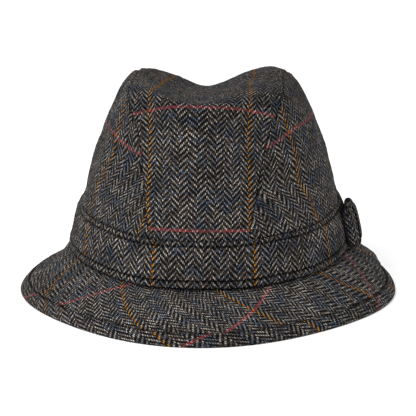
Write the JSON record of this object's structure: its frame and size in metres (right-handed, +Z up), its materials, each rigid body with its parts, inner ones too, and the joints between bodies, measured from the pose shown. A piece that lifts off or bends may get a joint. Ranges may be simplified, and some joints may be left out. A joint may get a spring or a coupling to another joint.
{
  "type": "tweed trilby hat",
  "caption": "Cloth trilby with a creased and pinched crown sewn from panels, a cloth band with a flat side bow, and a bound brim turned down at the front and up at the back.",
  "frame": {"origin": "middle of the brim's outline seen from above, on the plane that the brim's edge rests on", "axes": "+Z up, the front of the hat faces -Y, and the wearer's left, where the bow is, faces +X"},
  "size_m": [0.2402, 0.2676, 0.14],
  "materials": {
    "crown_tweed": "matte",
    "band_tweed": "matte",
    "brim_tweed": "matte"
  },
  "bodies": {
    "root": {"crown_centre": "crown_tweed", "crown_side_left": "crown_tweed", "crown_side_right": "crown_tweed", "hat_band": "band_tweed", "band_bow": "band_tweed", "bow_wrap": "band_tweed", "brim": "brim_tweed", "brim_edge": "brim_tweed"}
  },
  "joints": []
}
